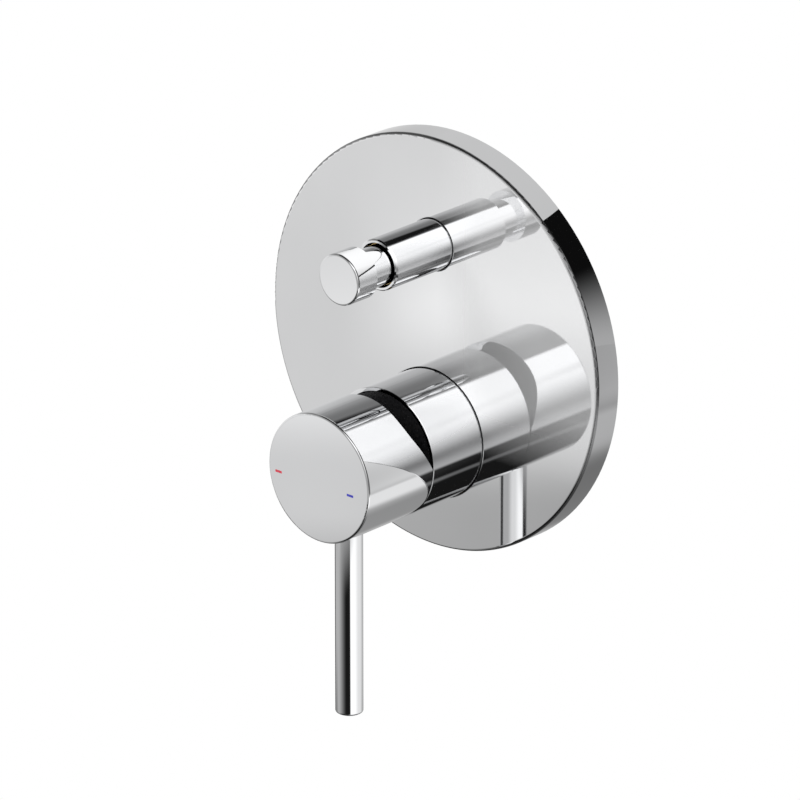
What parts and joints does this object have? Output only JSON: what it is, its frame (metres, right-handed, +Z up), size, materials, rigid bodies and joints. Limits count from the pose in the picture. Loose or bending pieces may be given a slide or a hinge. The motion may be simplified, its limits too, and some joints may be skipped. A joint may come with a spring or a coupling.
{
  "type": "concealed diverter mixer",
  "caption": "Round chrome wall plate with a lever-handled mixer below and a pull-out diverter knob above, on a brass body with threaded ports that is built into the wall.",
  "frame": {"origin": "middle of the round wall plate, on the plane of the finished wall", "axes": "+X to the right when facing the plate, +Y into the wall, +Z up"},
  "size_m": [0.15, 0.102, 0.1995],
  "materials": {
    "chrome": "mirror-bright plating",
    "cast_brass": "satin, as cast and machined",
    "steel": "bright",
    "black_rubber": "matt",
    "white_plastic": "moulded",
    "black_plastic": "moulded",
    "grey_plastic": "moulded",
    "white_ceramic": "lapped",
    "foam": "closed-cell foam",
    "red_enamel": "gloss",
    "blue_enamel": "gloss"
  },
  "bodies": {
    "valve": {"wall_plate": "chrome", "mixer_sleeve": "chrome", "diverter_sleeve": "chrome", "valve_body": "cast_brass", "bath_socket": "cast_brass", "shower_socket": "cast_brass", "cartridge_nut": "cast_brass", "diverter_bonnet": "cast_brass", "bonnet_gland": "cast_brass", "return_spring": "steel", "plate_mixer_seal": "black_rubber", "plate_diverter_seal": "black_rubber", "sleeve_o_ring": "black_rubber", "base_seals": "black_rubber", "diverter_sleeve_seal": "black_rubber", "diverter_stem_seal": "black_rubber", "cage_seals": "black_rubber", "cartridge_base": "white_plastic", "diverter_cage": "white_plastic", "cartridge_cover": "black_plastic", "cartridge_housing": "black_plastic", "fixed_ceramic_disc": "white_ceramic", "wall_seal": "foam"},
    "rotor": {"cartridge_rotor": "grey_plastic", "spindle_pin": "steel"},
    "handle": {"handle_cap": "chrome", "lever_pin": "chrome", "handle_grub_screw": "steel", "cartridge_spindle": "cast_brass", "hot_mark": "red_enamel", "cold_mark": "blue_enamel"},
    "mixing_disc": {"moving_ceramic_disc": "white_ceramic", "disc_coupler": "grey_plastic"},
    "diverter": {"diverter_knob": "chrome", "diverter_stem": "cast_brass", "front_poppet": "cast_brass", "front_washer": "black_rubber", "rear_washer": "black_rubber", "rear_poppet_nut": "cast_brass"}
  },
  "joints": [
    {"name": "temperature_turn", "type": "hinge", "parent": "valve", "child": "rotor", "pos_m": [0, -0.034, -0.033], "axis": [0, -1, 0], "range_deg": [-45, 45]},
    {"name": "flow_lift", "type": "hinge", "parent": "rotor", "child": "handle", "pos_m": [0, -0.034, -0.033], "axis": [-1, 0, 0], "range_deg": [0, 20]},
    {"name": "disc_slide", "type": "slide", "parent": "rotor", "child": "mixing_disc", "axis": [0, 0, -1], "range_m": [0, 0.0046]},
    {"name": "diverter_pull", "type": "slide", "parent": "valve", "child": "diverter", "axis": [0, -1, 0], "range_m": [0, 0.0055], "stiffness_N_per_m": 400, "springref_m": -0.006, "deforming": ["return_spring"]}
  ],
  "couplings": [
    {"joint": "disc_slide", "follows": "flow_lift", "m_per_rad": 0.0129}
  ]
}
